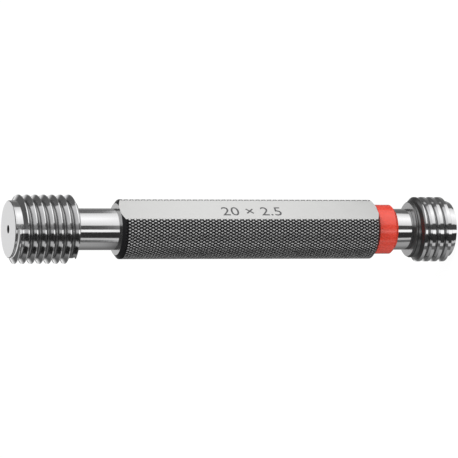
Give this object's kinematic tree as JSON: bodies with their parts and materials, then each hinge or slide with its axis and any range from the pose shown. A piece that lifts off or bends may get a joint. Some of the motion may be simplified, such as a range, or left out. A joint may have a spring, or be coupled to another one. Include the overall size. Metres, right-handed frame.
{
  "type": "thread plug gauge",
  "caption": "Double-ended thread plug gauge: long threaded GO end and short NO-GO end with red ring, taper-locked in a round knurled handle with a ground flat.",
  "frame": {"origin": "centre of the NO-GO member's front face, on which the gauge stands; bottom centre of its box", "axes": "+Z along the gauge's axis from the NO-GO end to the GO end; -Y is the side of the handle's ground flat"},
  "size_m": [0.02, 0.02, 0.135],
  "materials": {
    "gauge_steel": "hardened steel, ground and polished bright",
    "blackened_steel": "blackened and knurled, satin",
    "red_plastic": "moulded red plastic, slightly glossy",
    "ground_steel": "ground flat, fine grain along the handle",
    "engraving": "dark laser-marked numbers"
  },
  "bodies": {
    "root": {"go_member": "gauge_steel", "no_go_member": "gauge_steel", "handle": "blackened_steel", "marking_ring": "red_plastic"}
  },
  "joints": []
}
